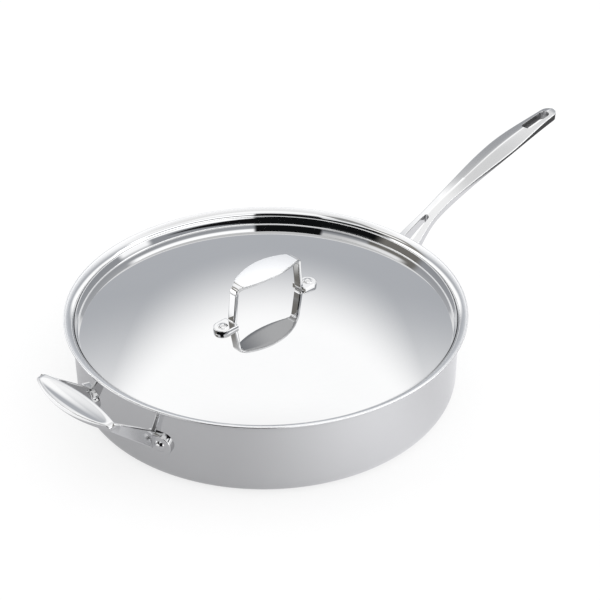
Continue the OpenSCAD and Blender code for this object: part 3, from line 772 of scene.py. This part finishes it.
def helper_grip_part():
    """The leaf-shaped grip, dished on top, with its ends rounded down."""
    rows = []
    for i in range(73):
        y = HELPER_HALF * math.sin(math.radians(-90 + 180 * i / 72))
        x0 = HELPER_IN + IN_R - math.sqrt(IN_R ** 2 - y ** 2) + HELPER_EDGE
        x1 = HELPER_OUT - OUT_R + math.sqrt(OUT_R ** 2 - y ** 2) - HELPER_EDGE
        end = max(0.0, abs(y) - HELPER_HALF + END_ROUND)
        end_drop = END_ROUND - math.sqrt(max(0.0, END_ROUND ** 2 - end ** 2))
        dish = [(x, -dish_drop(x, y)) for x in (blend(x0, x1, k / 20) for k in range(21))]
        section = soft_section(dish, 0.0, -HELPER_T, HELPER_EDGE, 1)
        rows.append([(-x, y, HELPER_TOP + z - end_drop * (1 + z / HELPER_T)) for x, z in section])
    return lofted(rows)


def helper_leg_part(side):
    """A flat leg from the end of the grip down to its foot on the wall, with soft edges."""
    foot_low, foot_top = HELPER_FOOT_Z - FOOT_HALF, HELPER_FOOT_Z + FOOT_HALF
    edge = LEG_EDGE
    rows = []
    for i in range(25):
        u = i / 24
        x_low, low = blend(LEG_START, END_OUT, u), blend(foot_low, HELPER_TOP - HELPER_T, u)
        x_top, top = blend(LEG_START, END_IN + 1.0, u), blend(foot_top, HELPER_TOP - 0.5, u)
        mid = blend(ROOT_Y, HELPER_HALF - LEG_T / 2, u)
        y0, y1 = mid - LEG_T / 2, mid + LEG_T / 2
        section = [(x_low, y0, low + edge), (x_low, y0 + edge, low), (x_low, y1 - edge, low),
                   (x_low, y1, low + edge), (x_top, y1, top - edge), (x_top, y1 - edge, top),
                   (x_top, y0 + edge, top), (x_top, y0, top - edge)]
        rows.append([(-x, side * y, z) for x, y, z in section])
    return lofted(rows)


helper_handle = shape(
    "helper_loop",
    [helper_grip_part(), helper_leg_part(1), helper_leg_part(-1),
     wall_plate(-1, HELPER_FOOT_T, 37.0, HELPER_RIVET_Y, HELPER_FOOT_Z, FOOT_HALF),
     wall_plate(-1, HELPER_FOOT_T, -HELPER_RIVET_Y, -37.0, HELPER_FOOT_Z, FOOT_HALF)],
    helper_steel)


def on_legs_with_painted_sheen(x, y, z):
    """1 on the outer side of the helper handle's legs, which is satin with a lighter tone than the inner
    side: painted sheen. 0 elsewhere.
    """
    outer = blend(ROOT_Y, HELPER_HALF - LEG_T / 2, (-x - LEG_START) / LEG_REACH) + 0.4
    off_wall = math.hypot(x, y) > WALL_R + HELPER_FOOT_T + 0.1
    return 1.0 if off_wall and abs(y) > outer and z < HELPER_TOP - HELPER_T - 0.2 else 0.0


satin_and_painted_light(helper_handle, on_legs_with_painted_sheen)


# Bodies, slots and the solids that the pieces stand for

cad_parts["pan_core"].data.materials.clear()
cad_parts["pan_core"].data.materials.append(core_metal)

for piece, body, finish_slot, stands_for in (
        (pan_skin, "pan", "outer_steel", ["pan_outer_skin"]),
        (pan_lining, "pan", "liner_steel", ["pan_inner_liner"]),
        (long_handle, "pan", "handle_steel", ["long_handle"]),
        (helper_handle, "pan", "handle_steel", ["helper_handle"]),
        (handle_rivets, "pan", "rivet_steel",
         ["long_handle_rivet_left", "long_handle_rivet_right"]),
        (helper_rivets, "pan", "rivet_steel", ["helper_rivet_left", "helper_rivet_right"]),
        (lid_sheet, "lid", "lid_steel", ["lid_shell"]),
        (lid_grip, "lid", "handle_steel", ["lid_handle"]),
        (lid_rivets, "lid", "rivet_steel", ["lid_rivet_left", "lid_rivet_right"])):
    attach(piece, body)
    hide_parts(*stands_for)


# Studio

# The photo looks along AWAY, with RIGHT to its right. Angles are in degrees, levels are brightness.
AWAY = (0.712, 0.702)
RIGHT = (0.702, -0.712)
FOCAL_MM, SENSOR_MM, TILT = 79.62, 36.0, 0.0029
CAMERA_PLACE, CAMERA_AIM = Vector((-0.6435, -0.6742, 0.6707)), Vector((0.0581, 0.0178, 0.040))
FLOOR_SIZE = 8.0


def studio_world():
    """Soft boxes, cards and dark strips all round, and plain white where the camera sees past them."""
    world = bpy.data.worlds.new("studio")
    bpy.context.scene.world = world
    world.use_nodes = True
    world.node_tree.nodes.clear()
    g = Graph(world.node_tree)
    x, y, z = g.split(g.node("ShaderNodeTexCoord", out="Generated"))
    rise = g.math("ARCSINE", z) * DEGREES
    away = x * AWAY[0] + y * AWAY[1]
    right = x * RIGHT[0] + y * RIGHT[1]
    offset = (right + 0.02) * DEGREES
    behind = g.math("ARCTAN2", right, away * -1) * DEGREES
    side = g.math("ABSOLUTE", behind)
    left = g.fall(right, -0.2, 0.2)

    # The bright sky, which comes down in a scoop beyond the pan
    dome = g.step(rise, 26.0, 57.0)
    scoop = g.step(rise - 26.0 - offset * offset / 16.0, -6.0, 11.0) * g.step(away, 0.0, 0.1)
    top = g.step(rise, 48.0, 62.0) * g.step(away, -0.3, -0.16)

    # A dark doorway on the camera's side, with bright panels on both sides of it
    wedge = g.between(behind, -37.0, -34.0, 7.0, 10.0)
    camera_side = (1 - wedge) * g.fall(side, 92.0, 104.0)
    panel = camera_side * g.fall(rise, 11.0, 15.0)
    band = camera_side * g.between(rise, 32.5, 34.5, 38.5, 40.5)
    band_level = g.mix(left, grey(2.5), g.mix(g.step(side, 40.0, 85.0), grey(1.3), grey(1.9)))
    shine = (1 - left) * camera_side * g.between(rise, 13.0, 15.0, 22.5, 24.0)

    # Soft boxes at both sides, and cards above and beyond them
    box = g.between(side, 76.0, 82.0, 100.0, 106.0)
    box = box * (left * g.fall(rise, 19.0, 23.0) + (1 - left) * g.fall(rise, 27.0, 31.0))
    flag = left * g.between(side, 66.0, 70.0, 106.0, 114.0) * g.between(rise, 20.0, 24.0, 44.0, 50.0)
    veil = left * g.between(side, 48.0, 54.0, 78.0, 88.0) * g.between(rise, 42.0, 48.0, 64.0, 70.0)
    ends = g.step(g.math("ARCTAN2", g.math("ABSOLUTE", right), away) * DEGREES, 22.0, 34.0)
    ends = ends * (1 - camera_side) * (1 - wedge) * g.fall(rise, 16.0, 27.0)

    # Dark strips for the rim and the lid's edge
    off_middle = g.math("ABSOLUTE", rise - 25.8) + side * 0.06
    thin_dark = (1 - left) * g.fall(side, 60.0, 70.0) * g.fall(off_middle, 3.4, 4.8)
    wide_dark = left * g.fall(side, 70.0, 80.0) * g.between(rise, 11.0, 15.0, 28.0, 33.0)
    dark = g.math("MAXIMUM", wedge * g.fall(rise, 42.0, 50.0), thin_dark + wide_dark)

    seen = g.node("ShaderNodeLightPath", out="Is Camera Ray")
    light = g.mix(g.math("MAXIMUM", dome, scoop), grey(0.645, 0.06), grey(1.56))
    for share, level in ((top, grey(1.22)), (ends, grey(1.6)), (veil, grey(0.4)), (panel, grey(1.6)),
                         (box, grey(2.3)), (flag, grey(0.36, -0.08)), (shine, grey(2.5)),
                         (band, band_level), (dark, grey(0.012, 0.1)), (seen, grey(1.0))):
        light = g.mix(share, light, level)
    sky = g.node("ShaderNodeBackground", None, {"Color": light, "Strength": 1.0})
    g.node("ShaderNodeOutputWorld", None, {"Surface": sky})


def studio_floor():
    """A white floor, whose reflected brightness changes round the pan."""
    bpy.ops.mesh.primitive_plane_add(size=FLOOR_SIZE)
    floor = bpy.context.object
    floor.name = "studio_floor"
    material = bpy.data.materials.new("studio_floor")
    material.use_nodes = True
    material.node_tree.nodes.clear()
    g = Graph(material.node_tree)
    x, y, _ = g.split(g.node("ShaderNodeTexCoord", out="Object"))
    near = x * -AWAY[0] - y * AWAY[1]
    right = x * RIGHT[0] + y * RIGHT[1]
    turn = g.math("ARCTAN2", right, near) * DEGREES
    share = 0.74 + g.step(turn, -15.0, 45.0) * 0.48 - g.step(turn, 48.0, 75.0) * 0.17
    share = share + g.fall(turn, -125.0, -85.0) * 0.35
    wedge = g.between(turn, -37.0, -34.0, 7.0, 10.0) * g.step(near, 0.45, 0.6)
    share = share * (1 - wedge * 0.97) * (1 - g.step(right, 0.36, 0.46) * 0.9)
    card = g.fall(right, -0.235, -0.215) * g.between(near, 0.0, 0.05, 0.3, 0.35)
    seen = g.node("ShaderNodeLightPath", out="Is Camera Ray")
    colour = g.mix(seen, g.vector(share * 0.86, share * 0.86, share * 0.88), grey(1.0))
    lit = g.mix(card * (1 - seen), colour, grey(1.9))
    paint = g.node("ShaderNodeBsdfDiffuse", None, {"Color": colour})
    glow = g.node("ShaderNodeEmission", None, {"Color": lit, "Strength": 1.0})
    both = g.node("ShaderNodeMixShader", None, {0: 0.6 + seen * 0.15, 1: paint, 2: glow})
    g.node("ShaderNodeOutputMaterial", None, {"Surface": both})
    floor.data.materials.append(material)


def studio_camera():
    """The photo's view, fitted to the rim, the base and the handles."""
    data = bpy.data.cameras.new("camera")
    data.lens, data.sensor_width = FOCAL_MM, SENSOR_MM
    data.clip_start, data.clip_end = 0.01, 50.0
    camera = bpy.data.objects.new("camera", data)
    bpy.context.scene.collection.objects.link(camera)
    turn = (CAMERA_AIM - CAMERA_PLACE).to_track_quat("-Z", "Y").to_matrix().to_4x4()
    camera.matrix_world = Matrix.Translation(CAMERA_PLACE) @ turn @ Matrix.Rotation(TILT, 4, "Z")
    bpy.context.scene.camera = camera


studio_world()
studio_floor()
studio_camera()
bpy.context.scene.view_settings.view_transform = "Standard"
